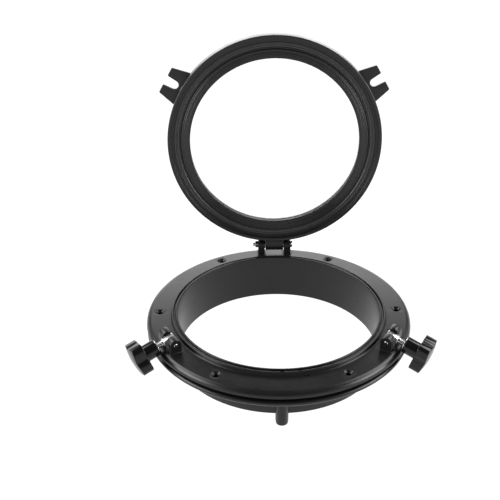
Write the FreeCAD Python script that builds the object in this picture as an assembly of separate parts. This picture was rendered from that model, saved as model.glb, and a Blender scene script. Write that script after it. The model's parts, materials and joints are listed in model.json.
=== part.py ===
"""Round opening portlight (deck hatch) with its lid swung open and its two latches folded out.

Millimetres. The origin is the centre of the clear opening on the flange's back face, which lies
on the panel. +Z points from the panel towards the lid, and the hinge is on the +Y side.
"""

import FreeCAD, Part
import math
import os

V = FreeCAD.Vector

# ---- driving dimensions -------------------------------------------------------------------
# main frame
FLANGE_RADIUS = 130.0
FLANGE_THICKNESS = 6.0
FLANGE_EDGE_ROUND = 5.2
BORE_RADIUS = 99.5
SPIGOT_RADIUS = 104.0
SPIGOT_DEPTH = 37.5
COLLAR_HEIGHT = 4.3
COLLAR_RADIUS = 105.4

# fixing screws and drain
SCREW_COUNT = 6
SCREW_CIRCLE_RADIUS = 117.2
SCREW_HOLE_RADIUS = 2.6
COUNTERSINK_RADIUS = 4.6
SPOUT_RADIUS = 6.0
SPOUT_CENTRE = 103.4
SPOUT_DEPTH = 48.0
DRAIN_RADIUS = 1.7

# outer trim ring, which slides on the spigot
TRIM_RADIUS = 129.8
TRIM_THICKNESS = 5.0
TRIM_GAP = 4.0
TRIM_CLEARANCE = 0.4

# lid, described closed
LID_RADIUS = 112.0
LID_BOTTOM = 7.6
LID_TOP = 28.2
LID_OPENING_RADIUS = 90.0
LID_OPEN_ANGLE = 93.0
EAR_REACH = 129.5
EAR_THICKNESS = 4.4
EAR_SLOT_BOTTOM = 114.7
EAR_SLOT_RADIUS = 4.4
GLASS_RADIUS = 95.5
GLASS_THICKNESS = 5.0
GLASS_BOTTOM = 15.0
RUBBER_THICKNESS = 0.8

# hinge
HINGE_RADIUS = 119.5
HINGE_HEIGHT = 16.5
HINGE_BOLT_RADIUS = 2.0
HINGE_LUG_INNER = 10.7
HINGE_LUG_OUTER = 17.9
TONGUE_HALF_WIDTH = 9.8
KNUCKLE_RADIUS = 6.5

# latches
PIVOT_RADIUS = 118.2
PIVOT_HEIGHT = 14.8
LATCH_LUG_RADIUS = 5.8
LATCH_LUG_INNER = 4.0
LATCH_LUG_OUTER = 13.0
LATCH_PIN_RADIUS = 1.9
EYE_REACH = 4.6
EYE_LENGTH = 7.4
EYE_HALF_DEPTH = 3.3
EYE_HALF_WIDTH = 3.6
SHANK_RADIUS = 2.95
SHANK_END = 34.0
FOLD_ANGLE = 16.7
WASHER_START = 13.6
WASHER_THICKNESS = 0.95
WASHER_RADIUS = 6.6
HUB_START = 14.6
HUB_RADIUS = 8.0
HUB_LENGTH = 12.6
HEAD_RADIUS = 17.5
HEAD_RIM = 10.4
HEAD_DOME = 2.6
LOBE_COUNT = 4
LOBE_RADIUS = 7.6
VALLEY_RADIUS = 7.0
KNOB_TURNS = {"left": 66.0, "right": 41.0}
INSERT_RADIUS = 4.8
INSERT_LENGTH = 12.0

RUNNING_CLEARANCE = 0.05
HINGE_STATION = 90.0
SPOUT_STATION = 270.0
LATCH_STATIONS = {"left": 210.0, "right": 330.0}

FLANGE_TOP = FLANGE_THICKNESS
COLLAR_TOP = FLANGE_TOP + COLLAR_HEIGHT
GLASS_TOP = GLASS_BOTTOM + GLASS_THICKNESS


# ---- shape helpers ------------------------------------------------------------------------
def rounded_corner(before, here, after, radius):
    """Start, middle and end of the arc that rounds one corner of an outline."""
    if radius == 0:
        return here, here, here
    back = (before - here).normalize()
    ahead = (after - here).normalize()
    half = back.getAngle(ahead) / 2
    reach = radius / math.tan(half)
    inwards = (back + ahead).normalize()
    middle = here + inwards * (radius / math.sin(half) - radius)
    return here + back * reach, middle, here + ahead * reach


def outline(corners):
    """Closed face in the X-Z plane through corners given as (x, z, rounding radius)."""
    points = [V(x, 0, z) for x, z, _ in corners]
    arcs = []
    for i, (_, _, radius) in enumerate(corners):
        arcs.append(rounded_corner(points[i - 1], points[i], points[(i + 1) % len(points)], radius))
    edges = []
    for i, (start, middle, end) in enumerate(arcs):
        if (end - start).Length > 1e-6:
            edges.append(Part.Arc(start, middle, end).toShape())
        following = arcs[(i + 1) % len(arcs)][0]
        if (following - end).Length > 1e-6:
            edges.append(Part.LineSegment(end, following).toShape())
    return Part.Face(Part.Wire(edges))


def ring(corners):
    """Solid of revolution about Z from a radius-height outline."""
    return outline(corners).revolve(V(0, 0, 0), V(0, 0, 1), 360)


def slab(corners, y_low, y_high):
    """Prism along Y from an outline in the X-Z plane."""
    face = outline(corners)
    face.translate(V(0, y_low, 0))
    return face.extrude(V(0, y_high - y_low, 0))


def rod(radius, start, end):
    """Cylinder from one point to another."""
    return Part.makeCylinder(radius, (end - start).Length, start, end - start)


def fused(shapes):
    """One clean solid from several that touch."""
    return shapes[0].multiFuse(shapes[1:]).removeSplitter()


def at_station(shape, angle):
    """Turn a shape made along +X (outwards) to its place round the frame."""
    turned = shape.copy()
    turned.rotate(V(0, 0, 0), V(0, 0, 1), angle)
    return turned


def swung_open(shape):
    """Swing a closed lid piece up about the hinge bolt."""
    opened = shape.copy()
    opened.rotate(V(0, HINGE_RADIUS, HINGE_HEIGHT), V(1, 0, 0), -LID_OPEN_ANGLE)
    return opened


def on_bolt(shape, station):
    """Lay a piece made along +Z from the latch pivot on its folded swing bolt."""
    placed = shape.copy()
    placed.rotate(V(0, 0, 0), V(0, 1, 0), 90 + FOLD_ANGLE)
    placed.translate(V(PIVOT_RADIUS, 0, PIVOT_HEIGHT))
    return at_station(placed, station)


def screw_stations():
    """The fixing screws' angles round the frame."""
    return [360 / SCREW_COUNT * i for i in range(SCREW_COUNT)]


# ---- main frame ---------------------------------------------------------------------------
def frame_body():
    """Flange, double-lipped collar and spigot."""
    groove_floor = COLLAR_TOP - 2.0
    return ring(
        [
            (BORE_RADIUS, -SPIGOT_DEPTH, 0.8),
            (SPIGOT_RADIUS, -SPIGOT_DEPTH, 0.8),
            (SPIGOT_RADIUS, 0, 0),
            (FLANGE_RADIUS, 0, 0.6),
            (FLANGE_RADIUS, FLANGE_TOP, FLANGE_EDGE_ROUND),
            (COLLAR_RADIUS + 0.6, FLANGE_TOP, 0.8),
            (COLLAR_RADIUS, COLLAR_TOP - 0.3, 0.8),
            (COLLAR_RADIUS - 2.0, COLLAR_TOP - 0.3, 0.7),
            (COLLAR_RADIUS - 2.2, groove_floor, 0.4),
            (BORE_RADIUS + 2.1, groove_floor, 0.4),
            (BORE_RADIUS + 1.9, COLLAR_TOP, 0.7),
            (BORE_RADIUS, COLLAR_TOP, 0.7),
        ]
    )


def hinge_lugs():
    """Two lugs that carry the hinge bolt; their square back corner is the lid's stop."""
    half = 6.0
    profile = [
        (HINGE_RADIUS - half, 2.0, 0),
        (HINGE_RADIUS + half, 2.0, 0),
        (HINGE_RADIUS + half, HINGE_HEIGHT + 4.5, 1.6),
        (HINGE_RADIUS - half, HINGE_HEIGHT + 4.5, 4.0),
    ]
    return [
        slab(profile, HINGE_LUG_INNER, HINGE_LUG_OUTER),
        slab(profile, -HINGE_LUG_OUTER, -HINGE_LUG_INNER),
    ]


def latch_lugs():
    """A pair of round-topped lugs that carry a latch pin."""
    top = PIVOT_HEIGHT + LATCH_LUG_RADIUS
    profile = [
        (PIVOT_RADIUS - LATCH_LUG_RADIUS, 3.0, 0),
        (PIVOT_RADIUS + LATCH_LUG_RADIUS, 3.0, 0),
        (PIVOT_RADIUS + LATCH_LUG_RADIUS, top, LATCH_LUG_RADIUS - 0.01),
        (PIVOT_RADIUS - LATCH_LUG_RADIUS, top, LATCH_LUG_RADIUS - 0.01),
    ]
    return [
        slab(profile, LATCH_LUG_INNER, LATCH_LUG_OUTER),
        slab(profile, -LATCH_LUG_OUTER, -LATCH_LUG_INNER),
    ]


def drain_spout():
    """Drain tube down the outside of the spigot, its end cut away on the inner side."""
    tube = rod(SPOUT_RADIUS, V(SPOUT_CENTRE, 0, 1), V(SPOUT_CENTRE, 0, -SPOUT_DEPTH))
    below = 1.0
    inner = BORE_RADIUS - 4
    wedge = [
        (inner, -SPIGOT_DEPTH - below, 0),
        (BORE_RADIUS, -SPIGOT_DEPTH - below, 0),
        (SPOUT_CENTRE + SPOUT_RADIUS - 1, -SPOUT_DEPTH - below, 0),
        (inner, -SPOUT_DEPTH - below, 0),
    ]
    tube = tube.cut(slab(wedge, -2 * SPOUT_RADIUS, 2 * SPOUT_RADIUS))
    inner_side = BORE_RADIUS + 1.5
    room = Part.makeBox(inner_side, 4 * SPOUT_RADIUS, 100, V(0, -2 * SPOUT_RADIUS, -60))
    return tube.cut(room)


def screw_hole(station):
    """Countersunk hole through the flange."""
    depth = COUNTERSINK_RADIUS - SCREW_HOLE_RADIUS
    hole = rod(SCREW_HOLE_RADIUS, V(SCREW_CIRCLE_RADIUS, 0, -1), V(SCREW_CIRCLE_RADIUS, 0, 20))
    sink = Part.makeCone(
        SCREW_HOLE_RADIUS,
        COUNTERSINK_RADIUS + 1,
        depth + 1,
        V(SCREW_CIRCLE_RADIUS, 0, FLANGE_TOP - depth),
    )
    return at_station(hole.fuse(sink), station)


def main_frame():
    """The whole moulding, with its holes."""
    solids = [frame_body(), at_station(drain_spout(), SPOUT_STATION)]
    solids += [at_station(lug, HINGE_STATION) for lug in hinge_lugs()]
    for station in LATCH_STATIONS.values():
        solids += [at_station(lug, station) for lug in latch_lugs()]
    holes = [screw_hole(station) for station in screw_stations()]
    hinge_hole = rod(
        HINGE_BOLT_RADIUS + RUNNING_CLEARANCE,
        V(HINGE_RADIUS, -30, HINGE_HEIGHT),
        V(HINGE_RADIUS, 30, HINGE_HEIGHT),
    )
    holes.append(at_station(hinge_hole, HINGE_STATION))
    for station in LATCH_STATIONS.values():
        pin_hole = rod(
            LATCH_PIN_RADIUS + 0.02,
            V(PIVOT_RADIUS, -20, PIVOT_HEIGHT),
            V(PIVOT_RADIUS, 20, PIVOT_HEIGHT),
        )
        holes.append(at_station(pin_hole, station))
    drain = rod(DRAIN_RADIUS, V(SPOUT_CENTRE - 0.4, 0, 20), V(SPOUT_CENTRE - 0.4, 0, -60))
    holes.append(at_station(drain, SPOUT_STATION))
    return fused(solids).cut(Part.makeCompound(holes))


def trim_ring():
    """Outer ring with the flange's screw pattern and a notch for the drain spout."""
    top = -TRIM_GAP
    bottom = top - TRIM_THICKNESS
    inner = SPIGOT_RADIUS + TRIM_CLEARANCE
    body = ring(
        [
            (inner, bottom, 0.6),
            (TRIM_RADIUS, bottom, 2.6),
            (TRIM_RADIUS, top, 1.0),
            (inner, top, 0.6),
        ]
    )
    notch = rod(SPOUT_RADIUS + 0.6, V(SPOUT_CENTRE, 0, 0), V(SPOUT_CENTRE, 0, -20))
    holes = [at_station(notch, SPOUT_STATION)]
    for station in screw_stations():
        hole = rod(SCREW_HOLE_RADIUS, V(SCREW_CIRCLE_RADIUS, 0, 0), V(SCREW_CIRCLE_RADIUS, 0, -20))
        holes.append(at_station(hole, station))
    return body.cut(Part.makeCompound(holes))


# ---- lid ----------------------------------------------------------------------------------
SEAT_TOP = GLASS_TOP + RUBBER_THICKNESS
SEAT_BOTTOM = GLASS_BOTTOM - RUBBER_THICKNESS
SEAT_RADIUS = GLASS_RADIUS + 1.9
RETAINER_RADIUS = 98.4
SEAL_INNER = 99.8
SEAL_OUTER = 105.2
SEAL_CEILING = 15.0


def lid_rim():
    """Lid section: crowned outside, glass seat, seal groove and outer skirt inside."""
    return ring(
        [
            (108.2, LID_BOTTOM, 0.5),
            (LID_RADIUS, LID_BOTTOM, 1.0),
            (LID_RADIUS, 21.6, 0.2),
            (LID_RADIUS - 0.7, 22.0, 0.2),
            (LID_RADIUS - 1.4, LID_TOP - 1.0, 3.2),
            (LID_RADIUS - 8.0, LID_TOP, 5.0),
            (LID_OPENING_RADIUS + 0.4, LID_TOP - 2.4, 1.4),
            (LID_OPENING_RADIUS, SEAT_TOP, 0),
            (SEAT_RADIUS, SEAT_TOP, 0),
            (SEAT_RADIUS, SEAT_BOTTOM, 0),
            (RETAINER_RADIUS, SEAT_BOTTOM, 0),
            (RETAINER_RADIUS, 10.8, 0.3),
            (SEAL_INNER, 10.8, 0.3),
            (SEAL_INNER, SEAL_CEILING, 0),
            (SEAL_OUTER, SEAL_CEILING, 0),
            (SEAL_OUTER, 11.0, 0.4),
            (108.2, 11.0, 0.6),
        ]
    )


def ear():
    """Forked ear whose slot takes the swing bolt."""
    slot_centre = EAR_SLOT_BOTTOM + EAR_SLOT_RADIUS
    half_tip = 14.4
    half_base = 18.4
    bottom = LID_TOP - EAR_THICKNESS
    corners = [
        (LID_RADIUS - 8, -half_base - 1, 0),
        (LID_RADIUS, -half_base, 2.0),
        (EAR_REACH, -half_tip, 1.2),
        (EAR_REACH, -EAR_SLOT_RADIUS - 0.7, 1.0),
        (slot_centre, -EAR_SLOT_RADIUS, 0),
        (slot_centre, EAR_SLOT_RADIUS, 0),
        (EAR_REACH, EAR_SLOT_RADIUS + 0.7, 1.0),
        (EAR_REACH, half_tip, 1.2),
        (LID_RADIUS, half_base, 2.0),
        (LID_RADIUS - 8, half_base + 1, 0),
    ]
    plate = outline(corners)
    plate.rotate(V(0, 0, 0), V(1, 0, 0), 90)
    plate.translate(V(0, 0, bottom))
    plate = plate.extrude(V(0, 0, EAR_THICKNESS))
    slot_end = rod(EAR_SLOT_RADIUS, V(slot_centre, 0, bottom - 1), V(slot_centre, 0, LID_TOP + 1))
    return plate.cut(slot_end)


def hinge_block():
    """Wide pad at the rim and the tongue round the hinge bolt."""
    pad = [
        (LID_RADIUS - 9, HINGE_HEIGHT + 5.2, 0),
        (HINGE_RADIUS - 5.0, HINGE_HEIGHT + 5.2, 0.6),
        (HINGE_RADIUS - 5.0, LID_TOP - 0.6, 2.0),
        (LID_RADIUS - 9, LID_TOP - 0.6, 0),
    ]
    tongue = [
        (LID_RADIUS - 3, HINGE_HEIGHT - 3.0, 0),
        (HINGE_RADIUS - KNUCKLE_RADIUS, HINGE_HEIGHT - KNUCKLE_RADIUS, 2.0),
        (HINGE_RADIUS + KNUCKLE_RADIUS, HINGE_HEIGHT - KNUCKLE_RADIUS, KNUCKLE_RADIUS - 0.01),
        (HINGE_RADIUS + KNUCKLE_RADIUS, HINGE_HEIGHT + KNUCKLE_RADIUS, KNUCKLE_RADIUS - 0.01),
        (HINGE_RADIUS - KNUCKLE_RADIUS, LID_TOP - 1.6, 3.0),
        (LID_RADIUS - 3, LID_TOP - 1.6, 0),
    ]
    return [
        slab(pad, -HINGE_LUG_OUTER + 0.3, HINGE_LUG_OUTER - 0.3),
        slab(tongue, -TONGUE_HALF_WIDTH, TONGUE_HALF_WIDTH),
    ]


def lid_ring():
    """Lid moulding: rim, ears and hinge block."""
    solids = [lid_rim()]
    solids += [at_station(ear(), station) for station in LATCH_STATIONS.values()]
    solids += [at_station(part, HINGE_STATION) for part in hinge_block()]
    hole = rod(
        HINGE_BOLT_RADIUS + RUNNING_CLEARANCE,
        V(HINGE_RADIUS, -15, HINGE_HEIGHT),
        V(HINGE_RADIUS, 15, HINGE_HEIGHT),
    )
    return fused(solids).cut(at_station(hole, HINGE_STATION))


def glass_pane():
    """Toughened glass disc with ground edges."""
    return ring(
        [
            (0, GLASS_BOTTOM, 0),
            (GLASS_RADIUS, GLASS_BOTTOM, 0.6),
            (GLASS_RADIUS, GLASS_TOP, 0.6),
            (0, GLASS_TOP, 0),
        ]
    )


def glazing_gasket():
    """Rubber channel round the edge of the glass."""
    lip = LID_OPENING_RADIUS - 0.5
    outer = SEAT_RADIUS - 0.05
    return ring(
        [
            (lip, SEAT_BOTTOM, 0),
            (outer, SEAT_BOTTOM, 0),
            (outer, SEAT_TOP, 0),
            (lip, SEAT_TOP, 0),
            (lip, GLASS_TOP, 0),
            (GLASS_RADIUS, GLASS_TOP, 0),
            (GLASS_RADIUS, GLASS_BOTTOM, 0),
            (lip, GLASS_BOTTOM, 0),
        ]
    )


def glazing_retainer():
    """Ring that holds the glass from the lid's inner side."""
    inner = LID_OPENING_RADIUS - 1.4
    outer = RETAINER_RADIUS - 0.1
    return ring(
        [
            (inner, 10.4, 0.4),
            (inner + 1.6, 9.5, 0.8),
            (outer - 0.4, 9.9, 0.4),
            (outer, SEAT_BOTTOM, 0),
            (inner, SEAT_BOTTOM, 0),
        ]
    )


def lid_seal():
    """Rubber seal, with two shallow grooves, that lies on both lips of the collar."""
    face = COLLAR_TOP + 0.25
    middle = (SEAL_INNER + SEAL_OUTER) / 2
    return ring(
        [
            (SEAL_INNER + 0.1, face + 0.5, 0.3),
            (SEAL_INNER + 0.7, face, 0.3),
            (middle - 0.9, face, 0.2),
            (middle - 0.5, face + 0.8, 0.2),
            (middle + 0.5, face + 0.8, 0.2),
            (middle + 0.9, face, 0.2),
            (SEAL_OUTER - 0.7, face, 0.3),
            (SEAL_OUTER - 0.1, face + 0.5, 0.3),
            (SEAL_OUTER - 0.1, SEAL_CEILING, 0),
            (SEAL_INNER + 0.1, SEAL_CEILING, 0),
        ]
    )


# ---- hinge hardware -----------------------------------------------------------------------
def hinge_bolt():
    """Slotted pan-head bolt through both lugs and the tongue."""
    head_thickness = 2.4
    head_radius = 3.7
    face = HINGE_LUG_OUTER
    shank = rod(HINGE_BOLT_RADIUS, V(0, 0, -face - 5.6), V(0, 0, face))
    head = ring(
        [
            (0, face, 0),
            (head_radius, face, 0),
            (head_radius, face + head_thickness, 1.2),
            (0, face + head_thickness, 0),
        ]
    )
    slot = Part.makeBox(12, 1.0, 2, V(-6, -0.5, face + head_thickness - 1.1))
    return across_hinge(shank.fuse(head.cut(slot)))


def hinge_nut():
    """Hexagon nut on the bolt's threaded end."""
    across_flats = 7.0
    thickness = 3.2
    corner = across_flats / 2 / math.cos(math.pi / 6)
    corners = []
    for i in range(7):
        turn = math.radians(60 * i)
        corners.append(V(corner * math.cos(turn), corner * math.sin(turn), 0))
    nut = Part.Face(Part.makePolygon(corners)).extrude(V(0, 0, thickness))
    nut.translate(V(0, 0, -HINGE_LUG_OUTER - thickness))
    hole = rod(HINGE_BOLT_RADIUS, V(0, 0, -30), V(0, 0, 0))
    return across_hinge(nut.cut(hole))


def hinge_washers():
    """Two thin washers between the lugs and the tongue."""
    inner = HINGE_BOLT_RADIUS + RUNNING_CLEARANCE
    washers = []
    for side in (-1, 1):
        near = V(0, 0, side * (TONGUE_HALF_WIDTH + 0.2))
        far = V(0, 0, side * HINGE_LUG_INNER)
        washers.append(rod(4.2, near, far).cut(rod(inner, near, far)))
    return across_hinge(Part.makeCompound(washers))


def across_hinge(shape):
    """Lay a piece made along +Z on the hinge axis, its head on the +X side."""
    placed = shape.copy()
    placed.rotate(V(0, 0, 0), V(0, 1, 0), 90)
    placed.translate(V(0, HINGE_RADIUS, HINGE_HEIGHT))
    return placed


# ---- latches ------------------------------------------------------------------------------
def latch_pin(station):
    """Cross pin with slightly rounded ends, pressed in the lugs."""
    half = LATCH_LUG_OUTER + 0.4
    pin = ring(
        [
            (0, -half, 0),
            (LATCH_PIN_RADIUS, -half, 0.5),
            (LATCH_PIN_RADIUS, half, 0.5),
            (0, half, 0),
        ]
    )
    pin.rotate(V(0, 0, 0), V(1, 0, 0), 90)
    pin.translate(V(PIVOT_RADIUS, 0, PIVOT_HEIGHT))
    return at_station(pin, station)


def swing_bolt(station):
    """Bolt with a square-ended eye that pivots on the latch pin."""
    eye = slab(
        [
            (-EYE_HALF_DEPTH, -EYE_REACH, 0.8),
            (EYE_HALF_DEPTH, -EYE_REACH, 0.8),
            (EYE_HALF_DEPTH, EYE_LENGTH, 0.8),
            (-EYE_HALF_DEPTH, EYE_LENGTH, 0.8),
        ],
        -EYE_HALF_WIDTH,
        EYE_HALF_WIDTH,
    )
    shank = ring(
        [
            (0, 0, 0),
            (SHANK_RADIUS, 0, 0),
            (SHANK_RADIUS, SHANK_END, 0.6),
            (0, SHANK_END, 0),
        ]
    )
    bore = rod(LATCH_PIN_RADIUS + RUNNING_CLEARANCE, V(0, -10, 0), V(0, 10, 0))
    return on_bolt(fused([eye, shank]).cut(bore), station)


def knob_washer(station):
    """Flat washer between the knob and the lid's ear."""
    start = V(0, 0, WASHER_START)
    end = V(0, 0, WASHER_START + WASHER_THICKNESS)
    washer = rod(WASHER_RADIUS, start, end).cut(rod(SHANK_RADIUS + 0.25, start, end))
    return on_bolt(washer, station)


def knob_insert(station):
    """Threaded metal bush moulded in the knob's hub."""
    start = V(0, 0, HUB_START)
    end = V(0, 0, HUB_START + INSERT_LENGTH)
    bush = rod(INSERT_RADIUS, start, end).cut(rod(SHANK_RADIUS + RUNNING_CLEARANCE, start, end))
    return on_bolt(bush, station)


def lobed_outline(height):
    """Face with four round lobes and hollow sides, at a height on the knob's axis."""
    lobe_centre = HEAD_RADIUS - LOBE_RADIUS
    half_pitch = math.pi / LOBE_COUNT
    along = lobe_centre * math.cos(half_pitch)
    across = lobe_centre * math.sin(half_pitch)
    between = LOBE_RADIUS + VALLEY_RADIUS
    valley_centre = along + math.sqrt(between**2 - across**2)
    tilt = math.atan2(across, valley_centre - along)

    def at(centre, turn, radius, direction):
        x = centre * math.cos(turn) + radius * math.cos(direction)
        y = centre * math.sin(turn) + radius * math.sin(direction)
        return V(x, y, height)

    edges = []
    for i in range(LOBE_COUNT):
        lobe = 2 * half_pitch * i
        valley = lobe + half_pitch
        leave = at(lobe_centre, lobe, LOBE_RADIUS, valley - tilt)
        enter = at(lobe_centre, lobe, LOBE_RADIUS, lobe - half_pitch + tilt)
        crest = at(lobe_centre, lobe, LOBE_RADIUS, lobe)
        hollow = at(valley_centre, valley, VALLEY_RADIUS, valley + math.pi)
        rise = at(lobe_centre, valley + half_pitch, LOBE_RADIUS, valley + tilt)
        edges.append(Part.Arc(enter, crest, leave).toShape())
        edges.append(Part.Arc(leave, hollow, rise).toShape())
    return Part.Face(Part.Wire(edges))


def knob(station, turn):
    """Black knob: round hub and a four-lobed head with a domed end, wound to an angle."""
    head_start = HUB_START + HUB_LENGTH
    head_end = head_start + HEAD_RIM + HEAD_DOME
    head = lobed_outline(head_start).extrude(V(0, 0, HEAD_RIM + HEAD_DOME))
    dome_radius = (HEAD_RADIUS**2 + HEAD_DOME**2) / (2 * HEAD_DOME)
    dome = Part.makeSphere(dome_radius, V(0, 0, head_end - dome_radius))
    skirt = Part.makeCone(
        HEAD_RADIUS - 1.2,
        HEAD_RADIUS + 28.8,
        30,
        V(0, 0, head_start),
    )
    head = head.common(dome).common(skirt)
    head.rotate(V(0, 0, 0), V(0, 0, 1), turn)
    hub = ring(
        [
            (0, HUB_START, 0),
            (HUB_RADIUS, HUB_START, 0.6),
            (HUB_RADIUS, head_start + 1, 0),
            (0, head_start + 1, 0),
        ]
    )
    insert_seat = rod(INSERT_RADIUS, V(0, 0, HUB_START), V(0, 0, HUB_START + INSERT_LENGTH))
    bolt_room = rod(SHANK_RADIUS + 0.4, V(0, 0, HUB_START), V(0, 0, SHANK_END + 2))
    return on_bolt(fused([head, hub]).cut(insert_seat).cut(bolt_room), station)


# ---- export -------------------------------------------------------------------------------
def all_parts():
    """Every node's name and its solid, at rest: lid open, latches folded out."""
    parts = {
        "main_frame": main_frame(),
        "trim_ring": trim_ring(),
        "lid_ring": swung_open(lid_ring()),
        "glass_pane": swung_open(glass_pane()),
        "glazing_gasket": swung_open(glazing_gasket()),
        "glazing_retainer": swung_open(glazing_retainer()),
        "lid_seal": swung_open(lid_seal()),
        "hinge_bolt": hinge_bolt(),
        "hinge_nut": hinge_nut(),
        "hinge_washers": hinge_washers(),
    }
    for side, station in LATCH_STATIONS.items():
        parts["latch_pin_" + side] = latch_pin(station)
        parts["swing_bolt_" + side] = swing_bolt(station)
        parts["knob_washer_" + side] = knob_washer(station)
        parts["knob_insert_" + side] = knob_insert(station)
        parts["knob_" + side] = knob(station, KNOB_TURNS[side])
    return parts


os.makedirs("parts", exist_ok=True)
for name, shape in all_parts().items():
    shape.exportStep("parts/" + name + ".step")
    print(name, "valid" if shape.isValid() else "INVALID", len(shape.Solids), round(shape.Volume))
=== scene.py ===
"""Looks of the opening portlight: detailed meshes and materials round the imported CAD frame.

Lengths are millimetres until a mesh is finished, when it is turned to metres. Pieces of the frame
are made round the frame's axis, pieces of the lid as if it were closed, and pieces of a latch
along +Z from its pivot.
"""

import json
import math

import bmesh
import bpy
from mathutils import Matrix, Vector


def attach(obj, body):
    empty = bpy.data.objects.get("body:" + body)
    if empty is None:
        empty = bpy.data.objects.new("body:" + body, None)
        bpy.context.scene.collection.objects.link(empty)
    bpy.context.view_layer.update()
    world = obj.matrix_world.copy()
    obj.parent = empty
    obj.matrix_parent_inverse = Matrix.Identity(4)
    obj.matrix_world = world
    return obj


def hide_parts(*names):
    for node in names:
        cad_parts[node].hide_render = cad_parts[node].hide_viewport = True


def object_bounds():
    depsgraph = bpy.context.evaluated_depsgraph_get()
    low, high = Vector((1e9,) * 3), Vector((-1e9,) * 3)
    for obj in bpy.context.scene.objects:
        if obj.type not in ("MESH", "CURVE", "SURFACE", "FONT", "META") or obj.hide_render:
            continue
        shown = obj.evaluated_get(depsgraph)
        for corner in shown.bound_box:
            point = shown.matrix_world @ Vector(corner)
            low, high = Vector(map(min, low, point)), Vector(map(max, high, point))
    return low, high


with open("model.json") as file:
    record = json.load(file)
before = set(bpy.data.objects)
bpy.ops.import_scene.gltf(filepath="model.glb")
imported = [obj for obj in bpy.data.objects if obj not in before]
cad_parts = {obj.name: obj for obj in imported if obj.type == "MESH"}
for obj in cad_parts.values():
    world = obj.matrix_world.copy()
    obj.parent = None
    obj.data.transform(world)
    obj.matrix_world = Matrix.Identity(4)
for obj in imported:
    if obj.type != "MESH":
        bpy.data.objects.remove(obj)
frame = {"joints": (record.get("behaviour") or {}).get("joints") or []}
cad_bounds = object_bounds()

MM = 0.001
SEGMENTS = 240
ARC_STEPS = 6
SHARP_ANGLE = math.radians(38)

# ---- sizes, in millimetres; places round the frame, in degrees ----------------------------
# flange, collar and spigot
FLANGE_RADIUS = 130.0
FLANGE_TOP = 6.0
FLANGE_EDGE_ROUND = 5.2
BORE_RADIUS = 99.5
SPIGOT_RADIUS = 104.0
SPIGOT_DEPTH = 37.5
COLLAR_TOP = 10.3
COLLAR_RADIUS = 105.4

# screw holes and drain spout
SCREW_STATIONS = [0.0, 60.0, 120.0, 180.0, 240.0, 300.0]
SCREW_CIRCLE_RADIUS = 117.2
SCREW_HOLE_RADIUS = 2.6
COUNTERSINK_RADIUS = 4.6
SPOUT_RADIUS = 6.0
SPOUT_CENTRE = 103.4
SPOUT_DEPTH = 48.0
DRAIN_RADIUS = 1.7
DRAIN_CENTRE = 103.0
NOTCH_RADIUS = 6.6

# trim ring
TRIM_RADIUS = 129.8
TRIM_TOP = -4.0
TRIM_BOTTOM = -9.0
TRIM_INNER = 104.4

# lid, with heights as if it were closed
LID_RADIUS = 112.0
LID_BOTTOM = 7.6
LID_TOP = 28.2
LID_OPENING_RADIUS = 90.0
SKIRT_INNER = 108.2
RECESS_FLOOR = 11.0
LEDGE_BOTTOM = 10.8
EAR_REACH = 129.5
EAR_THICKNESS = 4.4
EAR_SLOT_BOTTOM = 114.7
EAR_SLOT_RADIUS = 4.4
EAR_HALF_TIP = 14.4
EAR_HALF_BASE = 18.4

# glazing and seal
GLASS_RADIUS = 95.5
GLASS_BOTTOM = 15.0
GLASS_TOP = 20.0
SEAT_BOTTOM = 14.2
SEAT_TOP = 20.8
SEAT_RADIUS = 97.4
RETAINER_RADIUS = 98.4
SEAL_INNER = 99.8
SEAL_OUTER = 105.2
SEAL_CEILING = 15.0

# hinge
HINGE_BOLT_RADIUS = 2.0
HINGE_THREAD_PITCH = 0.7
HINGE_HEAD_RADIUS = 3.7
HINGE_HEAD_THICKNESS = 2.4
HINGE_NUT_ACROSS_FLATS = 7.0
HINGE_NUT_THICKNESS = 3.2
HINGE_WASHER_RADIUS = 4.2
HINGE_LUG_HALF_DEPTH = 6.0
HINGE_LUG_INNER = 10.7
HINGE_LUG_OUTER = 17.9
TONGUE_HALF_WIDTH = 9.8
KNUCKLE_RADIUS = 6.5

# latches, with starts and ends measured along the bolt from its pivot
LATCH_LUG_RADIUS = 5.8
LATCH_LUG_INNER = 4.0
LATCH_LUG_OUTER = 13.0
LATCH_PIN_RADIUS = 1.9
EYE_REACH = 4.6
EYE_LENGTH = 7.4
EYE_HALF_DEPTH = 3.3
EYE_HALF_WIDTH = 3.6
SHANK_RADIUS = 2.95
SHANK_END = 34.0
THREAD_START = 8.6
THREAD_PITCH = 1.0
WASHER_START = 13.6
WASHER_THICKNESS = 0.95
WASHER_RADIUS = 6.6
HUB_START = 14.6
HUB_RADIUS = 8.0
HUB_LENGTH = 12.6
INSERT_RADIUS = 4.8
INSERT_LENGTH = 12.0
HEAD_RADIUS = 17.5
HEAD_RIM = 10.4
HEAD_DOME = 2.6
LOBE_COUNT = 4
LOBE_RADIUS = 7.6
VALLEY_RADIUS = 7.0
KNOB_TURNS = {"left": 66.0, "right": 41.0}

# places round the frame
HINGE_STATION = 90.0
SPOUT_STATION = 270.0
LATCH_STATIONS = {"left": 210.0, "right": 330.0}


# ---- places read from the frame -----------------------------------------------------------
def joint(name):
    """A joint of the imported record."""
    return next(row for row in frame["joints"] if row["name"] == name)


def station(angle):
    """Turns a piece made along +X to its place round the frame."""
    return Matrix.Rotation(math.radians(angle), 4, "Z")


def bolt_place(side):
    """Lays a piece made along +Z from the latch pivot on its folded swing bolt."""
    along = -Vector(joint(f"knob_{side}_travel")["axis"])
    swing = joint(f"latch_{side}_swing")
    across = -Vector(swing["axis"])
    turn = Matrix((across.cross(along), across, along)).transposed().to_4x4()
    return Matrix.Translation(Vector(swing["pos_m"]) / MM) @ turn


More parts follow.
